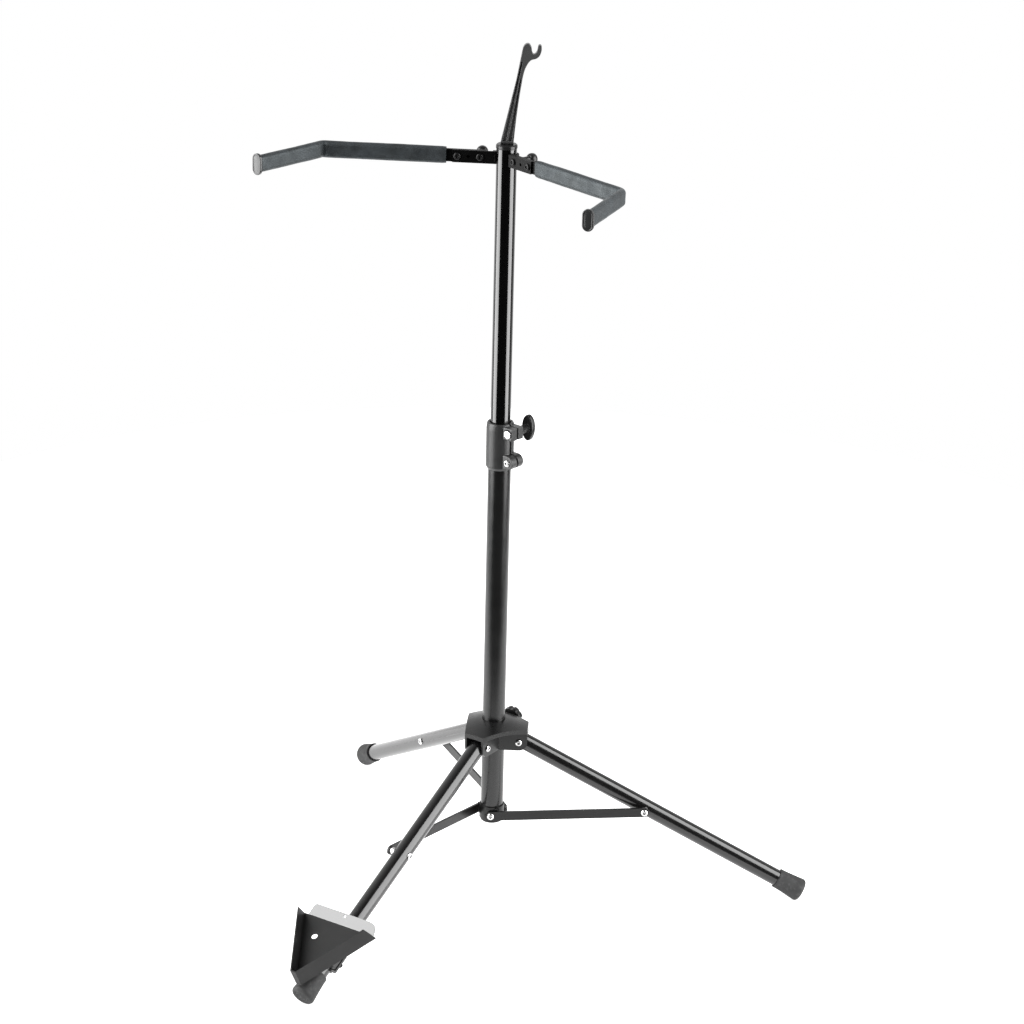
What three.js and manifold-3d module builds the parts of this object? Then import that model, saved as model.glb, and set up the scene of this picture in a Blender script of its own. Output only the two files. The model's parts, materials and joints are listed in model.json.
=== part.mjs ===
// Folding floor stand for a double bass: tripod base, telescopic mast, two padded arms,
// a bow hook on top and an endpin tray on the front leg. Millimetres, +Z up, front is -Y.
import * as THREE from 'three';
import { mergeVertices } from 'three/addons/utils/BufferGeometryUtils.js';
import Module from 'manifold-3d';

const wasm = await Module();
wasm.setup();

// ---- Driving dimensions ----
const GAP = 0.3;

const LOWER_R = 15;
const LOWER_WALL = 1.5;
const LOWER_BOTTOM = 99.5;
const LOWER_TOP = 619.5;

const UPPER_R = 13;
const UPPER_WALL = 1.5;
const UPPER_BOTTOM = 422.5;
const UPPER_TOP = 1019.5;

const LEG_R = 11.2;
const LEG_WALL = 1.5;
const LEG_LENGTH = 435.5;
const LEG_TILT = THREE.MathUtils.degToRad(27.96);
const LEG_PIVOT_R = 34.5;
const LEG_TOP_END = 5;
const LEG_AZIMUTHS = { front: 270, right: 30, left: 150 };

const FOOT_LENGTH = 38;
const FOOT_RIM_R = 13.5;
const FOOT_END_R = 15.6;
const FOOT_FILLET = 4.5;
const FOOT_FLOOR = 6;
// The pivot height rests the lowest point of the rounded foot ends on z = 0.
const LEG_PIVOT_Z = (LEG_LENGTH - FOOT_FILLET) * Math.sin(LEG_TILT)
  + (FOOT_END_R - FOOT_FILLET) * Math.cos(LEG_TILT) + FOOT_FILLET;

const STRUT_ON_LEG = 193;
const STRUT_SIDE = 18.8;
const STRUT_THICKNESS = 3;
const STRUT_HALF_WIDTH = 6.3;
const SPIDER_PIVOT_Z = 109;
const STRUT_END_R = LEG_PIVOT_R + STRUT_ON_LEG * Math.cos(LEG_TILT);
const STRUT_END_Z = LEG_PIVOT_Z - STRUT_ON_LEG * Math.sin(LEG_TILT);
const STRUT_LENGTH = Math.hypot(STRUT_END_R, STRUT_END_Z - SPIDER_PIVOT_Z);
const STRUT_RISE = Math.atan2(STRUT_END_Z - SPIDER_PIVOT_Z, STRUT_END_R);

const RIVET_SHANK_R = 2.7;
const RIVET_HOLE_R = 3.05;
const RIVET_HEAD_R = 4.6;
const RIVET_HEAD_HEIGHT = 2.2;

const HUB_WALL = 2.8;
const HUB_CHANNEL_HALF = 11.7;
const HUB_MOUTH_R = 46;
const HUB_BELOW = HUB_MOUTH_R - LEG_PIVOT_R;
const HUB_LIP = 6;
// The hub's domed top, from its rim to the mast: each point is [radius, height].
const HUB_DOME = [[60, 14.6], [46, 19], [34, 22.7], [24, 25.9], [16, 27.9], [0, 27.9]];
const HUB_KNOB_R = 14.5;
const HUB_KNOB_Z = 13.6;

const COLLAR_BOTTOM = 597.5;
const COLLAR_TOP = 660.5;
const COLLAR_R = 18.2;
const COLLAR_TURN = THREE.MathUtils.degToRad(-7);
const EAR_X = 22;
const EAR_END_X = 29.5;
const LOWER_EAR_R = 9;
const EAR_HALF_Y = 11;
const EAR_SLOT = 2.2;
const UPPER_EAR_Z = 650;
const LOWER_EAR_Z = 611;
const WING_HALF_LENGTH = 17.5;
const WING_HALF_WIDTH = 9;
const WING_THICKNESS = 8;
const WING_NECK = 15;

const ARM_Z = 1007.6;
const ARM_TURN = THREE.MathUtils.degToRad(4.8);
const ARM_APEX = { x: -4.9, y: -2.5 };
const BAR_HEIGHT = 16;
const BAR_THICKNESS = 4;
const BRACKET_THICKNESS = 2.5;
const BRACKET_R = UPPER_R + GAP;
const BRACKET_STRAP_HALF = 4.5;
const BRACKET_FRONT = [232, 319].map(THREE.MathUtils.degToRad);
const WING_ROOT = 4.3;
const WING_ROOT_REAR = 1.8;
const WING_END = 62;
const PAD_START = 70;
const ARM_BEND_R = 10;
// The two arms are set and bent a little differently.
const ARMS = [
  {
    name: 'right',
    side: 1,
    wingStart: 18.6,
    barStart: 23.2,
    sweep: THREE.MathUtils.degToRad(21.9),
    elbow: 229.5,
    bend: THREE.MathUtils.degToRad(61),
    forearm: 117.5,
  },
  {
    name: 'left',
    side: -1,
    wingStart: 7,
    barStart: 20,
    sweep: THREE.MathUtils.degToRad(23.6),
    elbow: 226,
    bend: THREE.MathUtils.degToRad(53.5),
    forearm: 114,
  },
];
const PAD_HEIGHT = 22;
const PAD_THICKNESS = 11;
const CAP_HEIGHT = 27;
const CAP_THICKNESS = 14.4;
const CAP_DEPTH = 4;
const INNER_SCREW = 27.5;
const OUTER_SCREW = 56;
const SPARE_HOLE = 42;

const HOOK_TURN = THREE.MathUtils.degToRad(33.7);
const HOOK_BASE_Z = UPPER_TOP + 5.9;
const HOOK_THICKNESS = 8;
const HOOK_SPIGOT_R = 4;

const TRAY_FLOOR_Z = 22;
const TRAY_SHEET = 1.5;
const TRAY_BACK_X = 333.3;
const TRAY_TIP_X = 430;
const TRAY_BACK_HALF = 56;
const TRAY_TIP_HALF = 3.6;
const TRAY_RIM = 26;
const TRAY_RIM_SLANT = 10;
const FLAP_LENGTH = 16.2;
const FLAP_RISE = THREE.MathUtils.degToRad(18);
const FLAP_BACK_HALF = 48;
const FLAP_FRONT_HALF = 51;
const SADDLE_X = [358, 384];
const SADDLE_HALF = 18.3;
const SADDLE_SCREW_Y = 14.9;
const STRAP_EAR = -8;
const STRAP_R = 13.7;
const STRAP_HEAD_R = 3.4;

const THIRD = (2 * Math.PI) / 3;
const ROUND = 36;
const FINE = 14;
const OVAL = 20;

// ---- Materials ----
function paint(color, roughness, metalness) {
  return { color, roughness, metalness };
}
const SATIN_BLACK = paint(0x2b2c2d, 0.42, 0.3);
const GLOSS_BLACK = paint(0x141415, 0.12, 0.35);
const LEG_BLACK = paint(0x242526, 0.28, 0.35);
const PLASTIC = paint(0x4a4b4c, 0.62, 0);
const RUBBER = paint(0x4c4d4c, 0.85, 0);
const NICKEL = paint(0xc9cac8, 0.25, 0.95);
const PAD_GREY = paint(0x6f7274, 0.8, 0);
const CAP_BLACK = paint(0x2c2d2e, 0.3, 0);
const SHEET_BLACK = paint(0x303131, 0.4, 0.3);
const SCREW_BLACK = paint(0x1e1f20, 0.35, 0.4);

// ---- Helpers ----
function signedVolume(position, index) {
  const [a, b, c] = [new THREE.Vector3(), new THREE.Vector3(), new THREE.Vector3()];
  let total = 0;
  for (let i = 0; i < index.length; i += 3) {
    a.fromBufferAttribute(position, index[i]);
    b.fromBufferAttribute(position, index[i + 1]);
    c.fromBufferAttribute(position, index[i + 2]);
    total += a.dot(b.cross(c));
  }
  return total;
}

function solid(geometry) {
  const bare = geometry.clone();
  bare.deleteAttribute('normal');
  bare.deleteAttribute('uv');
  const merged = mergeVertices(bare, 1e-4);
  const triangles = [];
  const index = merged.index.array;
  const flip = signedVolume(merged.attributes.position, index) < 0;
  for (let i = 0; i < index.length; i += 3) {
    const [a, b, c] = [index[i], index[i + 1], index[i + 2]];
    if (a === b || b === c || a === c) continue;
    triangles.push(a, flip ? c : b, flip ? b : c);
  }
  return new wasm.Manifold(new wasm.Mesh({
    numProp: 3,
    vertProperties: new Float32Array(merged.attributes.position.array),
    triVerts: new Uint32Array(triangles),
  }));
}

function meshGeometry(manifold) {
  const mesh = manifold.getMesh();
  const geometry = new THREE.BufferGeometry();
  geometry.setAttribute('position', new THREE.BufferAttribute(mesh.vertProperties, 3));
  geometry.setIndex(new THREE.BufferAttribute(mesh.triVerts, 1));
  geometry.computeVertexNormals();
  return geometry;
}

// A turned piece about +Z; each profile point is [radius, z].
function turned(profile, segments = ROUND) {
  const points = profile.map(([r, z]) => new THREE.Vector2(r, z));
  return solid(new THREE.LatheGeometry(points, segments).rotateX(Math.PI / 2));
}

function rod(radius, z0, z1, segments = FINE) {
  return turned([[0, z0], [radius, z0], [radius, z1], [0, z1]], segments);
}

function tube(inner, outer, z0, z1, segments = ROUND) {
  return turned([[inner, z0], [outer, z0], [outer, z1], [inner, z1], [inner, z0]], segments);
}

function block(x0, x1, y0, y1, z0, z1) {
  const box = new THREE.BoxGeometry(x1 - x0, y1 - y0, z1 - z0);
  return solid(box.translate((x0 + x1) / 2, (y0 + y1) / 2, (z0 + z1) / 2));
}

function prism(shape, z0, z1, curveSegments = 8) {
  const options = { depth: z1 - z0, bevelEnabled: false, curveSegments };
  return solid(new THREE.ExtrudeGeometry(shape, options).translate(0, 0, z0));
}

function placed(manifold, matrix) {
  return manifold.transform(matrix.elements);
}

function moved(manifold, x, y, z) {
  return placed(manifold, new THREE.Matrix4().makeTranslation(x, y, z));
}

function turnedAboutZ(manifold, angle) {
  return placed(manifold, new THREE.Matrix4().makeRotationZ(angle));
}

// Lays a piece made about +Z along +X or along +Y.
function alongX(manifold) {
  return placed(manifold, new THREE.Matrix4().makeRotationY(Math.PI / 2));
}

function alongY(manifold) {
  return placed(manifold, new THREE.Matrix4().makeRotationX(-Math.PI / 2));
}

function joined(...pieces) {
  return pieces.reduce((sum, piece) => sum.add(piece));
}

function cut(body, ...tools) {
  return tools.reduce((rest, tool) => rest.subtract(tool), body);
}

function polygon(points) {
  return new THREE.Shape(points.map(([x, y]) => new THREE.Vector2(x, y)));
}

function node(parent, name, manifold, look) {
  const material = new THREE.MeshStandardMaterial(look);
  const mesh = new THREE.Mesh(meshGeometry(manifold), material);
  mesh.name = name;
  parent.add(mesh);
  return mesh;
}

function frameAt(parent, x, y, z) {
  const group = new THREE.Group();
  group.position.set(x, y, z);
  parent.add(group);
  return group;
}

// Half profile of a domed head with a small centre dimple, from its seat outwards.
function headProfile(seat, side, radius = RIVET_HEAD_R) {
  const top = seat + side * RIVET_HEAD_HEIGHT;
  return [
    [radius, seat],
    [radius, seat + side * 0.8],
    [radius - 1.3, top],
    [1.7, top],
    [1.2, top - side * 1.1],
    [0, top - side * 1.1],
  ];
}

// ---- Tripod ----
function legTube() {
  const end = LEG_LENGTH - FOOT_FLOOR - GAP;
  const body = alongX(tube(LEG_R - LEG_WALL, LEG_R, -LEG_TOP_END, end));
  const pivotHole = alongY(rod(RIVET_HOLE_R, -2 * LEG_R, 2 * LEG_R));
  const boltHole = moved(alongY(rod(RIVET_HOLE_R, 0, 2 * LEG_R)), STRUT_ON_LEG, 0, 0);
  return cut(body, pivotHole, boltHole);
}

function footCap() {
  const start = LEG_LENGTH - FOOT_LENGTH;
  const bore = LEG_R + GAP;
  const profile = [
    [0, LEG_LENGTH - FOOT_FLOOR],
    [bore, LEG_LENGTH - FOOT_FLOOR],
    [bore, start],
    [FOOT_RIM_R - 0.4, start],
    [FOOT_RIM_R, start + 0.8],
    [FOOT_RIM_R + 0.1, start + 4],
  ];
  const steps = 5;
  for (let i = 0; i <= steps; i += 1) {
    const angle = (i / steps) * (Math.PI / 2);
    const radius = FOOT_END_R - FOOT_FILLET + FOOT_FILLET * Math.cos(angle);
    profile.push([radius, LEG_LENGTH - FOOT_FILLET + FOOT_FILLET * Math.sin(angle)]);
  }
  profile.push([0, LEG_LENGTH]);
  return alongX(turned(profile, 28));
}

function hubRivet() {
  const seat = HUB_CHANNEL_HALF + HUB_WALL + GAP;
  const near = headProfile(-seat, -1).reverse();
  const far = headProfile(seat, 1);
  const shank = [[RIVET_SHANK_R, -seat], [RIVET_SHANK_R, seat]];
  return alongY(turned([...near, ...shank, ...far], FINE));
}

function strutBar() {
  const outline = new THREE.Shape();
  outline.absarc(0, 0, STRUT_HALF_WIDTH, Math.PI / 2, Math.PI * 1.5, false);
  outline.absarc(STRUT_LENGTH, 0, STRUT_HALF_WIDTH, -Math.PI / 2, Math.PI / 2, false);
  for (const x of [0, STRUT_LENGTH]) {
    const hole = new THREE.Path();
    hole.absarc(x, 0, RIVET_HOLE_R, 0, Math.PI * 2, true);
    outline.holes.push(hole);
  }
  const half = STRUT_THICKNESS / 2;
  return moved(alongY(prism(outline, -half, half, 8)), 0, -STRUT_SIDE, 0);
}

// The outer bolt of a strut, with the spacer that holds the strut off its leg.
function strutBolt() {
  const inner = STRUT_SIDE - STRUT_THICKNESS / 2 - GAP;
  const seat = STRUT_SIDE + STRUT_THICKNESS / 2 + GAP;
  const profile = [
    [0, LEG_R + GAP],
    [RIVET_HEAD_R, LEG_R + GAP],
    [RIVET_HEAD_R, inner],
    [RIVET_SHANK_R, inner],
    [RIVET_SHANK_R, seat],
    ...headProfile(seat, 1),
  ];
  return moved(alongY(turned(profile.map(([r, z]) => [r, -z]), FINE)), STRUT_LENGTH, 0, 0);
}

function strutNut() {
  const seat = LEG_R + GAP;
  const profile = [[0, LEG_R - 4], [RIVET_SHANK_R, LEG_R - 4], [RIVET_SHANK_R, seat]];
  return moved(alongY(turned([...profile, ...headProfile(seat, 1)], FINE)), STRUT_ON_LEG, 0, 0);
}

function spiderScrew() {
  const seat = STRUT_SIDE + STRUT_THICKNESS / 2 + GAP;
  const tip = LOWER_R + 0.5;
  const profile = [[0, tip], [RIVET_SHANK_R - 0.2, tip], [RIVET_SHANK_R - 0.2, seat]];
  const whole = [...profile, ...headProfile(seat, 1)].map(([r, z]) => [r, -z]);
  return alongY(turned(whole, FINE));
}

function baseSpider() {
  const bore = LOWER_R + GAP;
  const face = STRUT_SIDE - STRUT_THICKNESS / 2 - GAP;
  const top = 11;
  const lugR = 8.4;
  const lug = new THREE.Shape();
  lug.moveTo(-lugR, top);
  lug.absarc(0, 0, lugR, Math.PI, Math.PI * 2, false);
  lug.lineTo(lugR, top);
  const pad = alongY(prism(lug, -face, -face + 6, 8));
  const upright = placed(pad, new THREE.Matrix4().makeScale(1, 1, -1));
  const hole = alongY(rod(RIVET_SHANK_R, -face - 1, 0));
  let body = tube(bore - 1, face - 0.2, -8, top);
  for (const azimuth of Object.values(LEG_AZIMUTHS)) {
    body = body.add(turnedAboutZ(upright, THREE.MathUtils.degToRad(azimuth)));
  }
  for (const azimuth of Object.values(LEG_AZIMUTHS)) {
    body = body.subtract(turnedAboutZ(hole, THREE.MathUtils.degToRad(azimuth)));
  }
  return cut(body, rod(bore, -30, 30, ROUND));
}

// Plan of the hub's lid: three channel mouths joined by straight sides.
function lidOutline() {
  const half = HUB_CHANNEL_HALF + HUB_WALL;
  const axis = new THREE.Vector2();
  const points = [];
  for (const azimuth of Object.values(LEG_AZIMUTHS).sort((a, b) => a - b)) {
    for (const side of [-1, 1]) {
      const corner = new THREE.Vector2(HUB_MOUTH_R, side * half);
      corner.rotateAround(axis, THREE.MathUtils.degToRad(azimuth));
      points.push([corner.x, corner.y]);
    }
  }
  return polygon(points);
}

// Everything below the domed top, or below that surface lowered by "drop".
function underDome(drop) {
  const top = HUB_DOME.map(([r, z]) => [r, z - drop]);
  return turned([[0, -40], [top[0][0], -40], ...top], 60);
}

// One leg's housing: two cheeks' worth of block, rounded below the rivet.
function hubHousing(turn) {
  const wall = HUB_CHANNEL_HALF + HUB_WALL;
  const outline = new THREE.Shape();
  outline.moveTo(0, HUB_BELOW);
  outline.lineTo(LEG_PIVOT_R, HUB_BELOW);
  outline.absarc(LEG_PIVOT_R, 0, HUB_BELOW, Math.PI / 2, 0, true);
  outline.lineTo(HUB_MOUTH_R, -30);
  outline.lineTo(0, -30);
  return turnedAboutZ(alongY(prism(outline, -wall, wall, 10)), turn);
}

function hubChannel(turn) {
  const half = HUB_CHANNEL_HALF;
  const channel = block(19.5, 58, -half, half, -30, 40).intersect(underDome(HUB_LIP));
  const hole = moved(alongY(rod(RIVET_HOLE_R, -20, 20)), LEG_PIVOT_R, 0, 0);
  return turnedAboutZ(joined(channel, hole), turn);
}

function tripodHub() {
  const turns = Object.values(LEG_AZIMUTHS).map((azimuth) => THREE.MathUtils.degToRad(azimuth));
  const lid = cut(prism(lidOutline(), -40, 40).intersect(underDome(0)), underDome(HUB_LIP));
  const housings = joined(...turns.map(hubHousing)).intersect(underDome(1));
  const boss = moved(alongY(rod(7, 14, 31)), 0, 0, HUB_KNOB_Z);
  const knobHole = moved(alongY(rod(3.3, 0, 40)), 0, 0, HUB_KNOB_Z);
  const neckHole = moved(alongY(rod(7.2, 31, 60, 24)), 0, 0, HUB_KNOB_Z);
  return cut(
    cut(joined(lid, housings, boss), ...turns.map(hubChannel)),
    rod(LOWER_R + 0.4, -40, 40, ROUND),
    knobHole,
    neckHole,
  );
}

function flutedDisc(radius, z0, z1, count, fluteR) {
  const edge = 1;
  let disc = turned([
    [0, z0], [radius - edge, z0], [radius, z0 + edge], [radius, z1 - edge],
    [radius - edge, z1], [0, z1],
  ], ROUND);
  for (let i = 0; i < count; i += 1) {
    const angle = (i / count) * Math.PI * 2;
    const x = (radius + fluteR * 0.45) * Math.cos(angle);
    const y = (radius + fluteR * 0.45) * Math.sin(angle);
    disc = disc.subtract(moved(rod(fluteR, z0 - 1, z1 + 1, 14), x, y, 0));
  }
  return disc;
}

function hubKnob() {
  const shank = turned([[0, 15.8], [3, 15.8], [3, 33], [0, 33]], FINE);
  const neck = turned([[0, 31.6], [6.4, 31.6], [5.2, 41], [0, 41]], FINE);
  return alongY(joined(shank, neck, flutedDisc(HUB_KNOB_R, 40, 49, 8, 3.2)));
}

// ---- Mast and clamp ----
function tubeEndPlug() {
  return turned([
    [0, LOWER_BOTTOM - 3], [LOWER_R - 0.8, LOWER_BOTTOM - 3], [LOWER_R, LOWER_BOTTOM - 2.2],
    [LOWER_R, LOWER_BOTTOM - GAP], [LOWER_R - LOWER_WALL - GAP, LOWER_BOTTOM - GAP],
    [LOWER_R - LOWER_WALL - GAP, LOWER_BOTTOM + 13], [10, LOWER_BOTTOM + 15],
    [0, LOWER_BOTTOM + 15],
  ]);
}

function clampCollar() {
  const step = LOWER_TOP + GAP;
  const low = LOWER_R + GAP;
  const high = UPPER_R + GAP;
  const shell = turned([
    [low, COLLAR_BOTTOM], [COLLAR_R - 2, COLLAR_BOTTOM], [COLLAR_R, COLLAR_BOTTOM + 3.6],
    [COLLAR_R, COLLAR_TOP - 8], [COLLAR_R - 0.8, COLLAR_TOP - 1.2],
    [COLLAR_R - 1.8, COLLAR_TOP], [high + 0.9, COLLAR_TOP], [high, COLLAR_TOP - 1.5],
    [high, step + 1], [low, step], [low, COLLAR_BOTTOM],
  ]);
  const upperEars = block(
    14, EAR_END_X,
    -EAR_HALF_Y, EAR_HALF_Y,
    UPPER_EAR_Z - 8, UPPER_EAR_Z + 8,
  );
  const lowerOutline = new THREE.Shape();
  lowerOutline.moveTo(14, -LOWER_EAR_R);
  lowerOutline.lineTo(EAR_X, -LOWER_EAR_R);
  lowerOutline.absarc(EAR_X, 0, LOWER_EAR_R, -Math.PI / 2, Math.PI / 2, false);
  lowerOutline.lineTo(14, LOWER_EAR_R);
  const lowerEars = alongY(prism(lowerOutline, -EAR_HALF_Y, EAR_HALF_Y, 8));
  const body = joined(shell, upperEars, moved(lowerEars, 0, 0, LOWER_EAR_Z));
  return cut(
    body,
    rod(low, COLLAR_BOTTOM - 1, step, ROUND),
    rod(high, step - 1, COLLAR_TOP + 1, ROUND),
    block(10, 40, -EAR_SLOT / 2, EAR_SLOT / 2, COLLAR_BOTTOM - 1, COLLAR_TOP + 1),
    moved(alongY(rod(3.2, -20, 20)), EAR_X, 0, UPPER_EAR_Z),
    moved(alongY(rod(6.3, -20, -EAR_HALF_Y + 2.4, 6)), EAR_X, 0, UPPER_EAR_Z),
    moved(alongY(rod(2.8, -20, 20)), EAR_X, 0, LOWER_EAR_Z),
  );
}

function clampBolt() {
  const seat = -EAR_HALF_Y + 2.4 - GAP;
  const head = rod(5.7, seat - 3.6, seat, 6);
  return moved(alongY(joined(head, rod(2.9, seat - 0.5, 26))), EAR_X, 0, UPPER_EAR_Z);
}

// A wing knob: fluted neck, then an oval wing whose long way stands upright.
function clampKnob() {
  const start = EAR_HALF_Y + GAP;
  const wing = start + WING_NECK;
  const end = wing + WING_THICKNESS;
  let neck = turned([[0, start], [6.6, start], [4.9, wing + 1], [0, wing + 1]], 24);
  for (let i = 0; i < 6; i += 1) {
    const angle = (i / 6) * Math.PI * 2;
    const flute = rod(1.6, start + 3, wing, 10);
    neck = neck.subtract(moved(flute, 6.8 * Math.cos(angle), 6.8 * Math.sin(angle), 0));
  }
  const round = turned([
    [0, wing], [WING_HALF_LENGTH - 1.2, wing], [WING_HALF_LENGTH, wing + 1.2],
    [WING_HALF_LENGTH, end - 2.4], [WING_HALF_LENGTH - 2.4, end], [0, end],
  ]);
  const narrow = WING_HALF_WIDTH / WING_HALF_LENGTH;
  const oval = placed(round, new THREE.Matrix4().makeScale(narrow, 1, 1));
  const bore = rod(3.2, start - 1, 26 + GAP);
  return moved(alongY(cut(joined(neck, oval), bore)), EAR_X, 0, UPPER_EAR_Z);
}

function collarScrew() {
  const seat = -EAR_HALF_Y - GAP;
  const head = turned(headProfile(seat, -1).reverse().concat([[0, seat]]), FINE);
  return moved(alongY(joined(head, rod(2.4, seat - 0.5, 15.4))), EAR_X, 0, LOWER_EAR_Z);
}

function collarNut() {
  const seat = EAR_HALF_Y + GAP;
  const nut = cut(rod(5.2, seat, seat + 3.6, 6), rod(2.6, seat - 1, seat + 5));
  return moved(alongY(nut), EAR_X, 0, LOWER_EAR_Z);
}

function innerGuide() {
  const bore = UPPER_R - UPPER_WALL - GAP;
  const flange = LOWER_R - LOWER_WALL - 0.2;
  return turned([
    [bore - 2, UPPER_BOTTOM - 8], [flange - 0.6, UPPER_BOTTOM - 8], [flange, UPPER_BOTTOM - 7],
    [flange, UPPER_BOTTOM - GAP], [bore, UPPER_BOTTOM - GAP], [bore, UPPER_BOTTOM + 15],
    [bore - 2, UPPER_BOTTOM + 16], [bore - 2, UPPER_BOTTOM - 8],
  ]);
}

function mastCap() {
  const plugR = UPPER_R - UPPER_WALL - GAP;
  const bore = HOOK_SPIGOT_R + GAP;
  return turned([
    [bore, UPPER_TOP - 13], [plugR - 1, UPPER_TOP - 13], [plugR, UPPER_TOP - 11],
    [plugR, UPPER_TOP + GAP], [UPPER_R + 0.5, UPPER_TOP + GAP], [UPPER_R + 0.5, UPPER_TOP + 4],
    [UPPER_R - 0.9, UPPER_TOP + 5.5], [bore, UPPER_TOP + 5.5], [bore, UPPER_TOP - 13],
  ]);
}

// The bow hook leans to one side and ends in a fork: x across, y up from its foot.
function hookOutline() {
  const outline = new THREE.Shape();
  outline.moveTo(-8.3, 0);
  outline.lineTo(8.3, 0);
  outline.quadraticCurveTo(11.4, 44, 16.9, 78);
  outline.quadraticCurveTo(18.6, 92, 22, 98.6);
  outline.quadraticCurveTo(25.6, 106.4, 30.2, 107.2);
  outline.quadraticCurveTo(35.6, 107.6, 38.4, 112.6);
  outline.quadraticCurveTo(41.2, 118.4, 40, 124);
  outline.quadraticCurveTo(37.6, 127, 35.6, 123.6);
  outline.quadraticCurveTo(35.4, 115.4, 31.2, 113.4);
  outline.quadraticCurveTo(28.2, 113.6, 28, 120.6);
  outline.quadraticCurveTo(26.2, 127.6, 22.2, 126.6);
  outline.quadraticCurveTo(17.6, 125.4, 16.6, 118.4);
  outline.lineTo(9.9, 81);
  return outline;
}

// A shallow groove beside the hook's middle rib.
function hookGroove(side) {
  const groove = side < 0
    ? polygon([[-5.6, 4], [-1.1, 4], [17.2, 104], [15.4, 104]])
    : polygon([[1.4, 4], [5.8, 4], [16, 82], [14.7, 82]]);
  return prism(groove, HOOK_THICKNESS / 2 - 2.2, HOOK_THICKNESS);
}

function bowHook() {
  const half = HOOK_THICKNESS / 2;
  let blade = prism(hookOutline(), -half, half, 5);
  const flip = new THREE.Matrix4().makeScale(1, 1, -1);
  for (const side of [-1, 1]) {
    const groove = hookGroove(side);
    blade = cut(blade, groove, placed(groove, flip));
  }
  const upright = placed(blade, new THREE.Matrix4().makeRotationX(Math.PI / 2));
  return upright.add(rod(HOOK_SPIGOT_R, -14, 1, 24));
}

// ---- Arms ----
// Each arm has its own frame: x runs out along the arm from the apex, and "rear" is
// side * y. The bar is centred on the x axis; the bracket wing lies in front of it.
function armRoute(arm, from, to) {
  const points = [[from, 0]];
  const cutBack = ARM_BEND_R * Math.tan(arm.bend / 2);
  const steps = 6;
  for (let i = 0; i <= steps; i += 1) {
    const angle = (i / steps) * arm.bend;
    points.push([
      arm.elbow - cutBack + ARM_BEND_R * Math.sin(angle),
      -ARM_BEND_R * (1 - Math.cos(angle)),
    ]);
  }
  points.push([
    arm.elbow + to * Math.cos(arm.bend),
    -to * Math.sin(arm.bend),
  ]);
  return points;
}

// The route's points, each with its own sideways direction.
function routeOffsets(route) {
  return route.map(([x, y], i) => {
    const [px, py] = route[Math.max(i - 1, 0)];
    const [nx, ny] = route[Math.min(i + 1, route.length - 1)];
    const length = Math.hypot(nx - px, ny - py);
    return [x, y, -(ny - py) / length, (nx - px) / length];
  });
}

// A flat strip seen from above, following the route at an even thickness.
function stripShape(route, thickness, side) {
  const half = thickness / 2;
  const offsets = routeOffsets(route);
  const rear = offsets.map(([x, y, nx, ny]) => [x + nx * half, side * (y + ny * half)]);
  const front = offsets.map(([x, y, nx, ny]) => [x - nx * half, side * (y - ny * half)]);
  return polygon([...rear, ...front.reverse()]);
}

function armTurn(arm) {
  return arm.side > 0 ? -arm.sweep : Math.PI + arm.sweep;
}

function armBar(arm) {
  const route = armRoute(arm, arm.barStart, arm.forearm - 2.6);
  const half = BAR_HEIGHT / 2;
  const strip = prism(stripShape(route, BAR_THICKNESS, arm.side), -half, half);
  const hole = alongY(rod(2.4, -9, 9));
  return cut(strip, moved(hole, INNER_SCREW, 0, 0), moved(hole, OUTER_SCREW, 0, 0));
}

// An upright oval: [across, up] points round it.
function ovalPoints(height, thickness) {
  const corner = thickness / 2;
  const run = height / 2 - corner;
  const points = [];
  for (let i = 0; i < OVAL; i += 1) {
    const angle = ((i + 0.5) / OVAL) * Math.PI * 2;
    const rise = Math.sin(angle);
    points.push([corner * Math.cos(angle), corner * rise + Math.sign(rise) * run]);
  }
  return points;
}

// A skin over rings of equal length, closed by a flat face at both ends.
function lofted(rings) {
  const count = rings[0].length;
  const last = (rings.length - 1) * count;
  const index = [];
  for (let i = 0; i < last; i += count) {
    for (let j = 0; j < count; j += 1) {
      const [a, b] = [i + j, i + ((j + 1) % count)];
      index.push(a, b, a + count, b, b + count, a + count);
    }
  }
  for (let j = 1; j + 1 < count; j += 1) {
    index.push(0, j + 1, j, last, last + j, last + j + 1);
  }
  const geometry = new THREE.BufferGeometry();
  geometry.setAttribute('position', new THREE.Float32BufferAttribute(rings.flat(2), 3));
  geometry.setIndex(index);
  return solid(geometry);
}

function armPad(arm) {
  const route = armRoute(arm, PAD_START, arm.forearm - CAP_DEPTH - GAP);
  const section = ovalPoints(PAD_HEIGHT, PAD_THICKNESS);
  const rings = routeOffsets(route).map(([x, y, nx, ny]) => section.map(
    ([across, up]) => [x + nx * across, arm.side * (y + ny * across), up],
  ));
  const half = (BAR_HEIGHT + 2 * GAP) / 2;
  const slotRoute = armRoute(arm, PAD_START - 5, arm.forearm + 5);
  const slot = prism(stripShape(slotRoute, BAR_THICKNESS + 2 * GAP, arm.side), -half, half);
  return cut(lofted(rings), slot);
}

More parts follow.
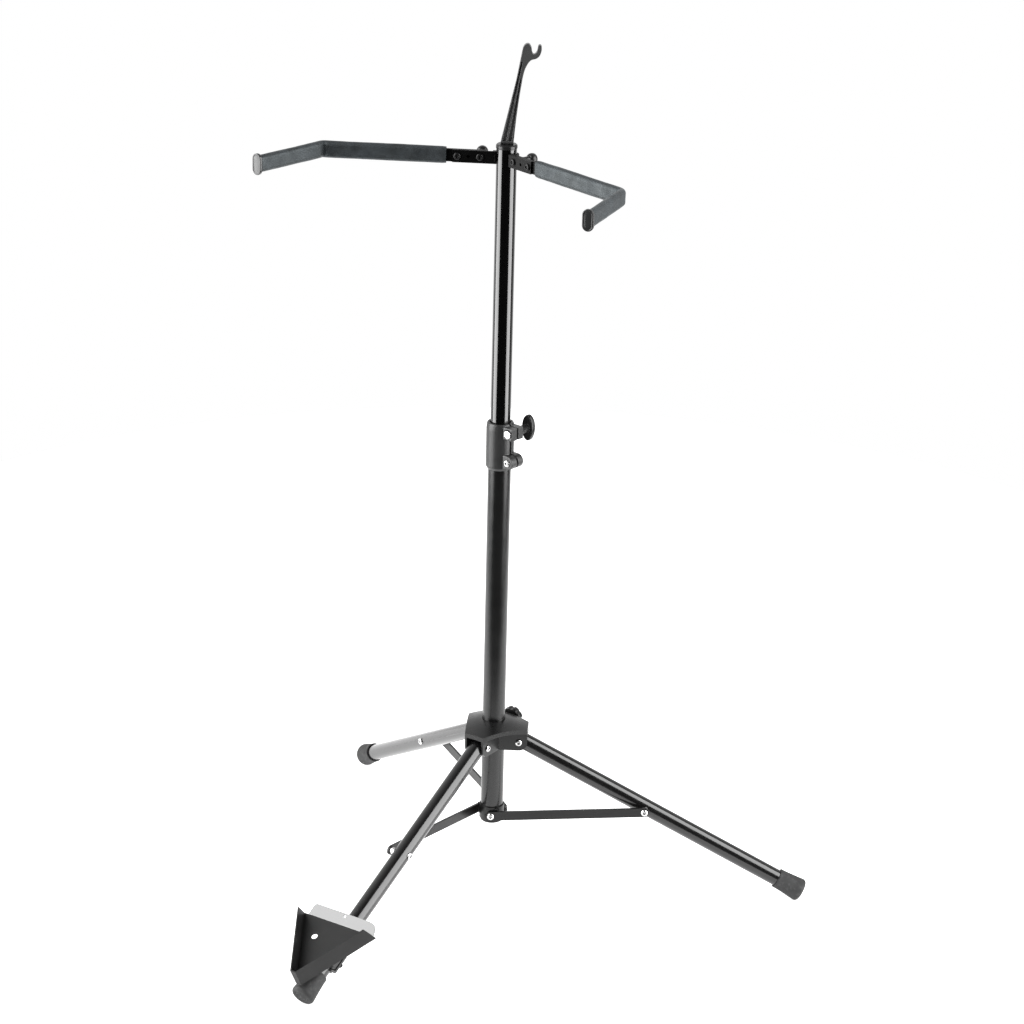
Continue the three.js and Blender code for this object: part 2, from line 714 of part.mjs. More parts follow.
function armEndCap(arm) {
  const route = armRoute(arm, PAD_START, arm.forearm);
  const [ex, ey] = route[route.length - 1];
  const options = {
    depth: CAP_DEPTH - 2,
    bevelThickness: 1,
    bevelSize: 1,
    bevelSegments: 2,
  };
  const section = polygon(ovalPoints(CAP_HEIGHT - 2, CAP_THICKNESS - 2));
  const disc = solid(new THREE.ExtrudeGeometry(section, options).translate(0, 0, 1 - CAP_DEPTH));
  const pocket = block(-2.4, 2.4, -BAR_HEIGHT / 2 - 0.4, BAR_HEIGHT / 2 + 0.4, -8, -2.3);
  const lying = new THREE.Matrix4().makeBasis(
    new THREE.Vector3(0, 1, 0),
    new THREE.Vector3(0, 0, 1),
    new THREE.Vector3(1, 0, 0),
  );
  const turn = new THREE.Matrix4().makeRotationZ(-arm.side * arm.bend);
  const place = new THREE.Matrix4().makeTranslation(ex, arm.side * ey, 0).multiply(turn);
  return placed(placed(cut(disc, pocket), lying), place);
}

function wingFront() {
  return BAR_THICKNESS / 2 + GAP + BRACKET_THICKNESS;
}

// A screw through wing and bar; "tail" is how far its shank stands out behind.
function armScrew(x, side, tail) {
  const seat = wingFront() + GAP;
  const head = turned(headProfile(-seat, -1).reverse().concat([[0, -seat]]), FINE);
  const shank = rod(2.1, -seat - 0.5, tail);
  const whole = alongY(head.add(shank));
  const facing = placed(whole, new THREE.Matrix4().makeScale(1, side, 1));
  return moved(facing, x, 0, 0);
}

function armNut(side) {
  const seat = BAR_THICKNESS / 2 + GAP;
  const nut = alongY(cut(rod(4.4, seat, seat + 3.2, 6), rod(2.3, seat - 1, seat + 5)));
  return moved(placed(nut, new THREE.Matrix4().makeScale(1, side, 1)), OUTER_SCREW, 0, 0);
}

function armKnob(side) {
  const seat = BAR_THICKNESS / 2 + GAP;
  const body = turned([
    [2.4, seat], [5.4, seat], [4.2, 12], [4.2, 20], [6.4, 21.5], [7.4, 24], [7.4, 27],
    [6.2, 29.6], [3.4, 30.8], [0, 31], [0, 25], [2.4, 25], [2.4, seat],
  ], 24);
  const lying = placed(alongY(body), new THREE.Matrix4().makeScale(1, side, 1));
  return moved(lying, INNER_SCREW, 0, 0);
}

// One wing of the bracket, with the thick root that joins it to the strap.
function bracketWing(arm) {
  const front = -wingFront();
  const half = BAR_HEIGHT / 2;
  const start = arm.wingStart;
  let wing = block(start, WING_END, front, front + BRACKET_THICKNESS, -half, half);
  wing = wing.add(block(start, start + WING_ROOT, front, WING_ROOT_REAR, -half, half));
  for (const x of [INNER_SCREW, OUTER_SCREW]) {
    wing = wing.subtract(moved(alongY(rod(2.4, -9, 9)), x, 0, 0));
  }
  wing = wing.subtract(moved(alongY(rod(1.9, -9, 9, 12)), SPARE_HOLE, 0, 0));
  const facing = placed(wing, new THREE.Matrix4().makeScale(1, arm.side, 1));
  return moved(turnedAboutZ(facing, armTurn(arm)), ARM_APEX.x, ARM_APEX.y, 0);
}

// A strap round the back of the mast and two swept wings in front of the bars.
function armBracket() {
  const half = BAR_HEIGHT / 2;
  const outer = BRACKET_R + BRACKET_THICKNESS;
  const [from, to] = BRACKET_FRONT;
  const opening = polygon([
    [0, 0], [50 * Math.cos(from), 50 * Math.sin(from)], [0, -80],
    [50 * Math.cos(to), 50 * Math.sin(to)],
  ]);
  const band = tube(BRACKET_R, outer, -BRACKET_STRAP_HALF, BRACKET_STRAP_HALF);
  const strap = band.subtract(prism(opening, -20, 20));
  const body = joined(strap, ...ARMS.map(bracketWing));
  return cut(body, rod(BRACKET_R, -half - 1, half + 1, ROUND));
}

// ---- Endpin tray, in the front leg's frame: x down the leg, z square to it ----
function trayEdge(side) {
  return {
    x: TRAY_TIP_X - TRAY_BACK_X,
    y: side * (TRAY_TIP_HALF - TRAY_BACK_HALF),
  };
}

function trayRim(side) {
  const edge = trayEdge(side);
  const length = Math.hypot(edge.x, edge.y);
  const outline = polygon([[0, 0], [length, 0], [length, TRAY_RIM], [TRAY_RIM_SLANT, TRAY_RIM]]);
  const panel = prism(outline, -TRAY_SHEET / 2, TRAY_SHEET / 2);
  const upright = placed(panel, new THREE.Matrix4().makeRotationX(Math.PI / 2));
  const turn = Math.atan2(edge.y, edge.x);
  const low = TRAY_FLOOR_Z - TRAY_SHEET / 2;
  return moved(turnedAboutZ(upright, turn), TRAY_BACK_X, side * TRAY_BACK_HALF, low);
}

function trayPan() {
  const low = TRAY_FLOOR_Z - TRAY_SHEET / 2;
  const floor = polygon([
    [TRAY_BACK_X, -TRAY_BACK_HALF], [TRAY_TIP_X, -TRAY_TIP_HALF],
    [TRAY_TIP_X, TRAY_TIP_HALF], [TRAY_BACK_X, TRAY_BACK_HALF],
  ]);
  for (const y of [-22, 22]) {
    const hole = new THREE.Path();
    hole.absarc(TRAY_BACK_X + 27, y, 4.2, 0, Math.PI * 2, true);
    floor.holes.push(hole);
  }
  const half = TRAY_TIP_HALF + 0.6;
  const tip = block(TRAY_TIP_X - 1, TRAY_TIP_X + 0.5, -half, half, low, low + TRAY_RIM);
  return joined(prism(floor, low, low + TRAY_SHEET, 10), trayRim(-1), trayRim(1), tip);
}

function flapOutline() {
  const outline = new THREE.Shape();
  outline.moveTo(-FLAP_FRONT_HALF, 0);
  outline.lineTo(FLAP_FRONT_HALF, 0);
  outline.lineTo(FLAP_FRONT_HALF - 1.6, 8.6);
  outline.quadraticCurveTo(FLAP_BACK_HALF, FLAP_LENGTH, FLAP_BACK_HALF - 14, FLAP_LENGTH);
  outline.lineTo(5 - FLAP_BACK_HALF, FLAP_LENGTH);
  outline.quadraticCurveTo(-FLAP_BACK_HALF, FLAP_LENGTH, -FLAP_BACK_HALF - 0.8, FLAP_LENGTH - 4);
  const hole = new THREE.Path();
  hole.absarc(0, FLAP_LENGTH - 3.9, 1.9, 0, Math.PI * 2, true);
  outline.holes.push(hole);
  return outline;
}

// The back plate: a flap rising behind the pan, on a flange that runs under its floor.
function trayBackPlate() {
  const foot = TRAY_FLOOR_Z - TRAY_SHEET / 2 - GAP - TRAY_SHEET;
  const rising = new THREE.Matrix4().makeBasis(
    new THREE.Vector3(0, 1, 0),
    new THREE.Vector3(-Math.cos(FLAP_RISE), 0, Math.sin(FLAP_RISE)),
    new THREE.Vector3(Math.sin(FLAP_RISE), 0, Math.cos(FLAP_RISE)),
  );
  const flap = placed(prism(flapOutline(), -TRAY_SHEET, 0), rising);
  const start = TRAY_BACK_X - GAP - 0.8;
  const half = FLAP_FRONT_HALF - 6;
  const flange = block(start - 0.4, TRAY_BACK_X + 14, -half, half, foot, foot + TRAY_SHEET);
  return joined(moved(flap, start, 0, foot + TRAY_SHEET), flange);
}

function saddleScrews(radius, z0, z1) {
  const x = (SADDLE_X[0] + SADDLE_X[1]) / 2;
  return [-1, 1].map((side) => moved(rod(radius, z0, z1), x, side * SADDLE_SCREW_Y, 0));
}

function traySaddle() {
  const top = TRAY_FLOOR_Z - TRAY_SHEET / 2 - GAP;
  const upper = block(...SADDLE_X, -SADDLE_HALF, SADDLE_HALF, 1.2, top);
  const leg = alongX(rod(LEG_R + GAP, 300, 440, ROUND));
  return cut(upper, leg, ...saddleScrews(2.3, -1, 13));
}

// A band under the leg with an ear on both sides.
function trayStrap() {
  const band = alongX(rod(STRAP_R, ...SADDLE_X, ROUND));
  const under = block(300, 440, -40, 40, -40, -1.2);
  const ears = polygon([
    [-SADDLE_HALF, -1.2], [-SADDLE_HALF, -5], [2.4 - SADDLE_HALF, STRAP_EAR],
    [SADDLE_HALF - 2.4, STRAP_EAR], [SADDLE_HALF, -5], [SADDLE_HALF, -1.2],
  ]);
  const lying = new THREE.Matrix4().makeBasis(
    new THREE.Vector3(0, 1, 0),
    new THREE.Vector3(0, 0, 1),
    new THREE.Vector3(1, 0, 0),
  );
  const strap = band.intersect(under).add(placed(prism(ears, ...SADDLE_X), lying));
  const leg = alongX(rod(LEG_R + GAP, 300, 440, ROUND));
  return cut(strap, leg, ...saddleScrews(2.3, -20, 0));
}

function trayScrew(side) {
  const seat = STRAP_EAR - GAP;
  const profile = headProfile(seat, -1, STRAP_HEAD_R).reverse().concat([[0, seat]]);
  const whole = turned(profile, FINE).add(rod(2, seat - 0.5, 12.6));
  return moved(whole, (SADDLE_X[0] + SADDLE_X[1]) / 2, side * SADDLE_SCREW_Y, 0);
}

// ---- Assembly ----
function addBase(stand) {
  const lower = tube(LOWER_R - LOWER_WALL, LOWER_R, LOWER_BOTTOM, LOWER_TOP);
  node(stand, 'lower_tube', lower, SATIN_BLACK);
  node(stand, 'tube_end_plug', tubeEndPlug(), PLASTIC);
  node(frameAt(stand, 0, 0, SPIDER_PIVOT_Z), 'base_spider', baseSpider(), SATIN_BLACK);
}

function addHub(stand) {
  const hub = frameAt(stand, 0, 0, LEG_PIVOT_Z);
  node(hub, 'tripod_hub', tripodHub(), PLASTIC);
  node(frameAt(hub, 0, 0, HUB_KNOB_Z), 'hub_knob', hubKnob(), PLASTIC);
}

function addLeg(stand, name, azimuth) {
  const station = frameAt(stand, 0, 0, 0);
  station.rotation.z = THREE.MathUtils.degToRad(azimuth);
  const pivot = frameAt(station, LEG_PIVOT_R, 0, LEG_PIVOT_Z);
  node(pivot, `hub_rivet_${name}`, hubRivet(), NICKEL);
  const leg = frameAt(pivot, 0, 0, 0);
  leg.rotation.y = LEG_TILT;
  node(leg, `leg_${name}`, legTube(), LEG_BLACK);
  node(leg, `foot_${name}`, footCap(), RUBBER);
  node(leg, `strut_nut_${name}`, strutNut(), NICKEL);
  const low = frameAt(station, 0, 0, SPIDER_PIVOT_Z);
  node(low, `spider_screw_${name}`, spiderScrew(), NICKEL);
  const strut = frameAt(low, 0, 0, 0);
  strut.rotation.y = -STRUT_RISE;
  node(strut, `strut_${name}`, strutBar(), SATIN_BLACK);
  node(strut, `strut_bolt_${name}`, strutBolt(), NICKEL);
  return leg;
}

function addTray(leg) {
  node(leg, 'tray_pan', trayPan(), SHEET_BLACK);
  node(leg, 'tray_back_plate', trayBackPlate(), SHEET_BLACK);
  node(leg, 'tray_saddle', traySaddle(), PLASTIC);
  node(leg, 'tray_strap', trayStrap(), PLASTIC);
  node(leg, 'tray_screw_right', trayScrew(1), NICKEL);
  node(leg, 'tray_screw_left', trayScrew(-1), NICKEL);
}

function addClamp(stand) {
  const clamp = frameAt(stand, 0, 0, 0);
  clamp.rotation.z = COLLAR_TURN;
  node(clamp, 'clamp_collar', clampCollar(), PLASTIC);
  node(clamp, 'clamp_bolt', clampBolt(), NICKEL);
  node(clamp, 'clamp_knob', clampKnob(), PLASTIC);
  node(clamp, 'collar_screw', collarScrew(), NICKEL);
  node(clamp, 'collar_nut', collarNut(), NICKEL);
}

function addMast(stand) {
  const upper = tube(UPPER_R - UPPER_WALL, UPPER_R, UPPER_BOTTOM, UPPER_TOP);
  node(stand, 'inner_guide', innerGuide(), PLASTIC);
  node(stand, 'upper_tube', upper, GLOSS_BLACK);
  node(stand, 'mast_cap', mastCap(), PLASTIC);
  const hook = frameAt(stand, 0, 0, HOOK_BASE_Z);
  hook.rotation.z = HOOK_TURN;
  node(hook, 'bow_hook', bowHook(), PLASTIC);
}

function addArms(stand) {
  const yoke = frameAt(stand, 0, 0, ARM_Z);
  yoke.rotation.z = ARM_TURN;
  node(yoke, 'arm_bracket', armBracket(), SATIN_BLACK);
  for (const shape of ARMS) {
    const { name, side } = shape;
    const arm = frameAt(yoke, ARM_APEX.x, ARM_APEX.y, 0);
    arm.rotation.z = armTurn(shape);
    node(arm, `arm_bar_${name}`, armBar(shape), SATIN_BLACK);
    node(arm, `arm_pad_${name}`, armPad(shape), PAD_GREY);
    node(arm, `arm_end_cap_${name}`, armEndCap(shape), CAP_BLACK);
    node(arm, `arm_stud_${name}`, armScrew(INNER_SCREW, side, 24), SCREW_BLACK);
    node(arm, `arm_knob_${name}`, armKnob(side), PLASTIC);
    node(arm, `arm_screw_${name}`, armScrew(OUTER_SCREW, side, 7), SCREW_BLACK);
    node(arm, `arm_nut_${name}`, armNut(side), SCREW_BLACK);
  }
}

function buildStand() {
  const stand = new THREE.Group();
  stand.name = 'bass_stand';
  addBase(stand);
  addHub(stand);
  for (const [name, azimuth] of Object.entries(LEG_AZIMUTHS)) {
    const leg = addLeg(stand, name, azimuth);
    if (name === 'front') addTray(leg);
  }
  addClamp(stand);
  addMast(stand);
  addArms(stand);
  return stand;
}

const group = buildStand();
export default group;
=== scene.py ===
"""Looks of a folding double bass stand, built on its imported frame. Metres, +Z up, front is -Y."""

import json
import math

import bmesh
import bpy
from mathutils import Matrix, Vector, noise

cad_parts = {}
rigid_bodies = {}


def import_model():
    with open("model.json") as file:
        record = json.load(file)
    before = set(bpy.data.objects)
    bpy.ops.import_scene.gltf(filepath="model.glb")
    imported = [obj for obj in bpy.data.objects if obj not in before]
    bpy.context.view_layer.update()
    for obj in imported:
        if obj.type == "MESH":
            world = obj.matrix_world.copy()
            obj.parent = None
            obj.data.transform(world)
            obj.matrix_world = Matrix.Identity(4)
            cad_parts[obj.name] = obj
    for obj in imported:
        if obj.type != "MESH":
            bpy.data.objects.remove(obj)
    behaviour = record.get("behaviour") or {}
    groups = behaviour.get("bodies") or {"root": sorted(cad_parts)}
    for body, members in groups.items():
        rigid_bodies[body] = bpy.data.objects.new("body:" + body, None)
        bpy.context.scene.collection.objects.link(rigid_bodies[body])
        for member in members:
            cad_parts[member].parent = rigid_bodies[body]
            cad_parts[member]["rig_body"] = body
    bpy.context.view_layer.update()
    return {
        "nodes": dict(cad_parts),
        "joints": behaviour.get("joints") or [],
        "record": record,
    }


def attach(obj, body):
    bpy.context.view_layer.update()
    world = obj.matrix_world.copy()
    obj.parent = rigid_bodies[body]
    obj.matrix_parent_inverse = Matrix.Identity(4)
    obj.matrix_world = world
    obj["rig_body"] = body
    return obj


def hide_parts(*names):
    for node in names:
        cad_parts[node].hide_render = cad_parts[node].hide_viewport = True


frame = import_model()
NODES = frame["nodes"]
JOINTS = {joint["name"]: joint for joint in frame["joints"]}
MOUNTS = {mount["name"]: mount for mount in frame["record"]["mounts"]}
MM = 0.001
UP = Vector((0, 0, 1))
LEGS = ("front", "right", "left")
SIDES = ("right", "left")


# ---- Materials ----
class Shader:
    """One procedural finish: colour, roughness and relief all vary over the surface."""

    def __init__(self, name):
        self.material = bpy.data.materials.new(name)
        self.material.use_nodes = True
        self.tree = self.material.node_tree
        self.surface = self.tree.nodes["Principled BSDF"]
        self.place = self.tree.nodes.new("ShaderNodeTexCoord").outputs["Object"]

    def link(self, source, target):
        self.tree.links.new(source, target)

    def noise(self, scale, detail=3.0, stretch=(1, 1, 1), roughness=0.55):
        mapping = self.tree.nodes.new("ShaderNodeMapping")
        mapping.inputs["Scale"].default_value = stretch
        self.link(self.place, mapping.inputs["Vector"])
        node = self.tree.nodes.new("ShaderNodeTexNoise")
        node.inputs["Scale"].default_value = scale
        node.inputs["Detail"].default_value = detail
        node.inputs["Roughness"].default_value = roughness
        self.link(mapping.outputs["Vector"], node.inputs["Vector"])
        return node.outputs["Fac"]

    def cells(self, scale):
        node = self.tree.nodes.new("ShaderNodeTexVoronoi")
        node.inputs["Scale"].default_value = scale
        self.link(self.place, node.inputs["Vector"])
        return node.outputs["Distance"]

    def spread(self, value, low, high, start=0.3, end=0.7):
        node = self.tree.nodes.new("ShaderNodeMapRange")
        node.inputs["From Min"].default_value = start
        node.inputs["From Max"].default_value = end
        node.inputs["To Min"].default_value = low
        node.inputs["To Max"].default_value = high
        self.link(value, node.inputs["Value"])
        return node.outputs["Result"]

    def mix(self, factor, first, second):
        node = self.tree.nodes.new("ShaderNodeMix")
        node.data_type = "RGBA"
        self.link(factor, node.inputs["Factor"])
        for socket, value in ((node.inputs[6], first), (node.inputs[7], second)):
            if isinstance(value, tuple):
                socket.default_value = (*value, 1)
            else:
                self.link(value, socket)
        return node.outputs[2]

    def hollow_shade(self, reach):
        """Mask for painted shade: one on open faces, falling to nothing deep inside small hollows,
        where the colour is darkened.
        """
        node = self.tree.nodes.new("ShaderNodeAmbientOcclusion")
        node.inputs["Distance"].default_value = reach
        node.samples = 6
        return self.spread(node.outputs["AO"], 0, 1, 0.5, 0.85)

    def worn_edges(self, amount):
        geometry = self.tree.nodes.new("ShaderNodeNewGeometry")
        edge = self.spread(geometry.outputs["Pointiness"], 0, amount, 0.52, 0.62)
        patchy = self.spread(self.noise(140), 0, 1, 0.4, 0.65)
        node = self.tree.nodes.new("ShaderNodeMath")
        node.operation = "MULTIPLY"
        self.link(edge, node.inputs[0])
        self.link(patchy, node.inputs[1])
        return node.outputs["Value"]

    def colour(self, value):
        self.link(value, self.surface.inputs["Base Color"])

    def rough(self, value):
        self.link(value, self.surface.inputs["Roughness"])

    def fixed(self, **values):
        for name, value in values.items():
            self.surface.inputs[name.replace("_", " ")].default_value = value

    def relief(self, heights):
        """Bump from (height, strength, depth in metres) triples, one on top of the other."""
        normal = None
        for height, strength, depth in heights:
            bump = self.tree.nodes.new("ShaderNodeBump")
            bump.inputs["Strength"].default_value = strength
            bump.inputs["Distance"].default_value = depth
            self.link(height, bump.inputs["Height"])
            if normal:
                self.link(normal, bump.inputs["Normal"])
            normal = bump.outputs["Normal"]
        self.link(normal, self.surface.inputs["Normal"])


def grey(value, tint=0.0):
    return (value * (1 - tint), value, value * (1 + tint))


def coated_metal(name, shades, rough, grain, coat=0.0, shine=0.5, peel=0.08, hollow=0.0):
    """Painted or powder coated steel with faint handling marks; painted shade darkens its hollows.
    """
    shader = Shader(name)
    dark, light = shades
    base = shader.mix(shader.spread(shader.noise(18), 0, 1), grey(dark), grey(light))
    # Painted shade: the colour goes nearly black inside hollows, such as the pan floor beside its
    # rims.
    if hollow:
        base = shader.mix(shader.hollow_shade(hollow), grey(dark * 0.12), base)
    shader.colour(base)
    shader.rough(shader.spread(shader.noise(70, 5), *rough))
    shader.relief([
        (shader.noise(grain, 2), peel, 0.0001),
        (shader.noise(9, 2), 0.04, 0.0003),
    ])
    shader.fixed(
        Metallic=0.0, Coat_Weight=coat, Coat_Roughness=rough[0], Specular_IOR_Level=shine,
    )
    return shader.material


def moulded_plastic(name, shades, rough, grain=1300, edge=0.35, shine=0.5, hollow=0.0):
    """Spark eroded moulding: a fine even grain, and paler worn edges."""
    shader = Shader(name)
    dark, light = shades
    base = shader.mix(shader.spread(shader.noise(26), 0, 1), grey(dark), grey(light, 0.02))
    # Painted shade: the colour goes nearly black inside the moulding's hollows.
    if hollow:
        base = shader.mix(shader.hollow_shade(hollow), grey(dark * 0.1), base)
    shader.colour(shader.mix(shader.worn_edges(edge), base, grey(light * 2.2)))
    shader.rough(shader.spread(shader.noise(55, 4), *rough))
    shader.relief([
        (shader.cells(grain), 0.25, 0.00008),
        (shader.noise(grain * 0.6, 3), 0.2, 0.0001),
        (shader.noise(30, 2), 0.1, 0.0004),
    ])
    shader.fixed(Specular_IOR_Level=shine)
    return shader.material


def foot_rubber(name):
    shader = Shader(name)
    base = shader.mix(shader.spread(shader.noise(40), 0, 1), grey(0.012), grey(0.02, 0.02))
    dust = shader.spread(shader.noise(160, 6), 0, 0.16, 0.52, 0.75)
    shader.colour(shader.mix(dust, base, grey(0.2)))
    shader.rough(shader.spread(shader.noise(90), 0.6, 0.8))
    shader.relief([
        (shader.cells(1100), 0.5, 0.00015),
        (shader.noise(380, 5), 0.45, 0.0003),
        (shader.noise(50), 0.2, 0.0006),
    ])
    return shader.material


def foam_skin(name):
    """The closed skin of a foam rubber sleeve: mottled sheen over fine pores."""
    shader = Shader(name)
    mottle = shader.spread(shader.noise(70, 4), 0, 1)
    base = shader.mix(mottle, grey(0.013, 0.08), grey(0.028, 0.16))
    pores = shader.spread(shader.cells(900), 0.5, 0, 0.02, 0.2)
    shader.colour(shader.mix(pores, base, grey(0.02)))
    shader.rough(shader.spread(shader.noise(75, 5), 0.4, 0.62))
    shader.relief([
        (shader.cells(900), 0.35, 0.00012),
        (shader.noise(420, 5), 0.35, 0.0002),
        (shader.noise(38, 4), 0.35, 0.0012),
    ])
    shader.fixed(
        Sheen_Weight=0.08, Sheen_Roughness=0.5, Specular_IOR_Level=0.42,
        Specular_Tint=(0.87, 0.97, 1, 1), Sheen_Tint=(0.87, 0.97, 1, 1),
    )
    return shader.material


def plated_steel(name, value, rough, grain):
    shader = Shader(name)
    base = shader.mix(shader.spread(shader.noise(45), 0, 1), grey(value * 0.88), grey(value))
    stain = shader.spread(shader.noise(260, 6), 0, 0.35, 0.55, 0.75)
    stained = shader.mix(stain, base, (0.42, 0.39, 0.35))
    # Painted shade: the colour goes nearly black in the hollow of each screw head.
    shader.colour(shader.mix(shader.hollow_shade(0.003), grey(0.01), stained))
    shader.rough(shader.spread(shader.noise(130, 4), *rough))
    shader.relief([(shader.noise(grain, 3), 0.15, 0.00008), (shader.noise(60), 0.1, 0.0002)])
    shader.fixed(Metallic=1.0)
    return shader.material


def gloss_lacquer(name, shades, rough, run):
    """Gloss black tube: deep colour, polish lines along "run", a few soft rubs."""
    shader = Shader(name)
    dark, light = shades
    base = shader.mix(shader.spread(shader.noise(14), 0, 1), grey(dark), grey(light))
    rub = shader.spread(shader.noise(220, 6, run), 0, 0.3, 0.6, 0.8)
    shader.colour(shader.mix(rub, base, grey(light * 3)))
    shader.rough(shader.spread(shader.noise(320, 4, run), *rough))
    shader.relief([
        (shader.noise(900, 3, run), 0.02, 0.00003),
        (shader.noise(7, 2), 0.03, 0.0004),
    ])
    shader.fixed(Coat_Weight=0.5, Coat_Roughness=rough[0])
    return shader.material


ALONG_MAST = (1, 1, 0.03)
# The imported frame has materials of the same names, so Blender numbers these.
LOOKS = {look.name.split(".")[0]: look for look in (
    coated_metal("satin_black", (0.0045, 0.0065), (0.26, 0.34), 1100, shine=0.32),
    coated_metal("column_black", (0.006, 0.009), (0.2, 0.26), 1100, shine=0.52),
    coated_metal("arm_black", (0.0006, 0.0012), (0.4, 0.5), 1300, shine=0.1),
    gloss_lacquer("gloss_black", (0.0008, 0.0016), (0.1, 0.14), ALONG_MAST),
    coated_metal("leg_black", (0.006, 0.009), (0.15, 0.2), 900, coat=0.25, peel=0.03),
    moulded_plastic("plastic", (0.008, 0.012), (0.24, 0.34), shine=0.38),
    # hollow: painted shade in the bow hook's hollows.
    moulded_plastic("hook_plastic", (0.045, 0.06), (0.26, 0.36), edge=0.1, hollow=0.005),
    moulded_plastic("collar_plastic", (0.018, 0.03), (0.3, 0.42)),
    foot_rubber("rubber"),
    plated_steel("nickel", 0.72, (0.2, 0.32), 900),
    foam_skin("pad"),
    moulded_plastic("cap_black", (0.02, 0.028), (0.16, 0.26), grain=700, edge=0.2),
    coated_metal("screw_black", (0.002, 0.004), (0.34, 0.44), 1400, shine=0.25),
    # hollow: painted shade on the pan floor beside its rims.
    coated_metal("sheet_black", (0.022, 0.028), (0.4, 0.46), 900, shine=0.12, hollow=0.016),
    coated_metal("sheet_gloss", (0.03, 0.04), (0.1, 0.16), 900, coat=0.9),
)}
# Nodes whose finish differs from the one their material slot names.
NODE_LOOKS = {
    "tray_back_plate": "sheet_gloss",
    "lower_tube": "column_black",
    "clamp_collar": "collar_plastic",
    "bow_hook": "hook_plastic",
    "arm_bracket": "arm_black",
    "arm_bar_right": "arm_black",
    "arm_bar_left": "arm_black",
}


# ---- Mesh helpers ----
def body_of(node):
    return NODES[node]["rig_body"]


def make_piece(name, verts, faces, look, nodes, sharp=35):
    """A closed smooth piece that rides with the first node it replaces."""
    mesh = bpy.data.meshes.new(name)
    mesh.from_pydata([tuple(v) for v in verts], [], faces)
    shape = bmesh.new()
    shape.from_mesh(mesh)
    bmesh.ops.remove_doubles(shape, verts=shape.verts, dist=1e-6)
    bmesh.ops.recalc_face_normals(shape, faces=shape.faces)
    shape.to_mesh(mesh)
    shape.free()
    mesh.polygons.foreach_set("use_smooth", [True] * len(mesh.polygons))
    mesh.set_sharp_from_angle(angle=math.radians(sharp))
    piece = bpy.data.objects.new(name, mesh)
    bpy.context.scene.collection.objects.link(piece)
    mesh.materials.append(LOOKS[look])
    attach(piece, body_of(nodes[0]))
    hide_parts(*nodes)
    return piece


def skin(rings, looped=False):
    """Quads over rings of equal length; the two ends are closed, or joined if looped."""
    count = len(rings[0])
    verts = [point for ring in rings for point in ring]
    faces = []
    total = len(rings)
    for i in range(total if looped else total - 1):
        near, far = i * count, ((i + 1) % total) * count
        for j in range(count):
            k = (j + 1) % count
            faces.append((near + j, near + k, far + k, far + j))
    if not looped:
        faces.append(tuple(range(count)))
        faces.append(tuple((total - 1) * count + j for j in reversed(range(count))))
    return verts, faces


def filleted(profile, radius, steps=4):
    """The same polyline with its inner corners rounded."""
    points = [Vector(p) for p in profile]
    result = [points[0]]
    for before, corner, after in zip(points, points[1:], points[2:]):
        back, ahead = before - corner, after - corner
        reach = min(radius, 0.45 * back.length, 0.45 * ahead.length)
        start = corner + back.normalized() * reach
        end = corner + ahead.normalized() * reach
        for i in range(steps + 1):
            t = i / steps
            result.append(start * (1 - t) ** 2 + corner * 2 * t * (1 - t) + end * t ** 2)
    return result + [points[-1]]


def turned(profile, matrix, segments=40, shape=None):
    """Rings of [radius, height] in millimetres round the matrix's z axis."""
    rings = []
    for radius, height in profile:
        ring = []
        for i in range(segments):
            angle = 2 * math.pi * i / segments
            r = max(radius, 0.01)
            x, y = r * math.cos(angle), r * math.sin(angle)
            if shape:
                x, y = shape(x, y, angle, radius, height)
            ring.append(matrix @ Vector((x * MM, y * MM, height * MM)))
        rings.append(ring)
    return skin(rings)


def frame_along(axis, origin=(0, 0, 0), up=UP):
    """Local axes with z along "axis"; x stays level where it can."""
    z = Vector(axis).normalized()
    x = up.cross(z)
    x = x.normalized() if x.length > 1e-4 else Vector((1, 0, 0))
    y = z.cross(x)
    matrix = Matrix((x, y, z)).transposed().to_4x4()
    matrix.translation = Vector(origin)
    return matrix


def local_box(node, matrix):
    """Lowest and highest corner of a node in the axes of "matrix"."""
    inverse = matrix.inverted()
    points = [inverse @ v.co for v in NODES[node].data.vertices]
    low = Vector(min(p[i] for p in points) for i in range(3))
    high = Vector(max(p[i] for p in points) for i in range(3))
    return low, high


def centred(node, axis):
    """Axes on a turned node's own centre line, and its two end heights in millimetres."""
    matrix = frame_along(axis)
    low, high = local_box(node, matrix)
    centre = Vector(((low.x + high.x) / 2, (low.y + high.y) / 2, 0))
    matrix.translation = matrix @ centre
    return matrix, low.z / MM, high.z / MM


# ---- Frames of the legs and arms ----
def leg_axes(name):
    """Sideways direction of a leg, and the direction down along it."""
    sideways = Vector(JOINTS[f"leg_{name}_hinge"]["axis"]).normalized()
    outward = Vector((sideways.y, -sideways.x, 0))
    drop = Vector(MOUNTS["front_foot_end"]["axis"]).z
    down = outward * math.sqrt(1 - drop * drop) + UP * drop
    return sideways, down


ARM_SHAPES = {
    "right": {"side": 1, "elbow": 229.5, "bend": math.radians(61), "forearm": 117.5},
    "left": {"side": -1, "elbow": 226, "bend": math.radians(53.5), "forearm": 114},
}
ARM_BEND_R = 10
KNOB_ALONG = 27.5
KNOB_BEHIND = 25


def arm_axes(name):
    joint = JOINTS[f"arm_knob_{name}_turn"]
    side = ARM_SHAPES[name]["side"]
    rear = Vector(joint["axis"]).normalized()
    along = Vector((rear.y, -rear.x, 0)) * side
    origin = Vector(joint["pos_m"]) - along * KNOB_ALONG * MM - rear * KNOB_BEHIND * MM
    return Matrix((along, rear, UP)).transposed().to_4x4(), origin


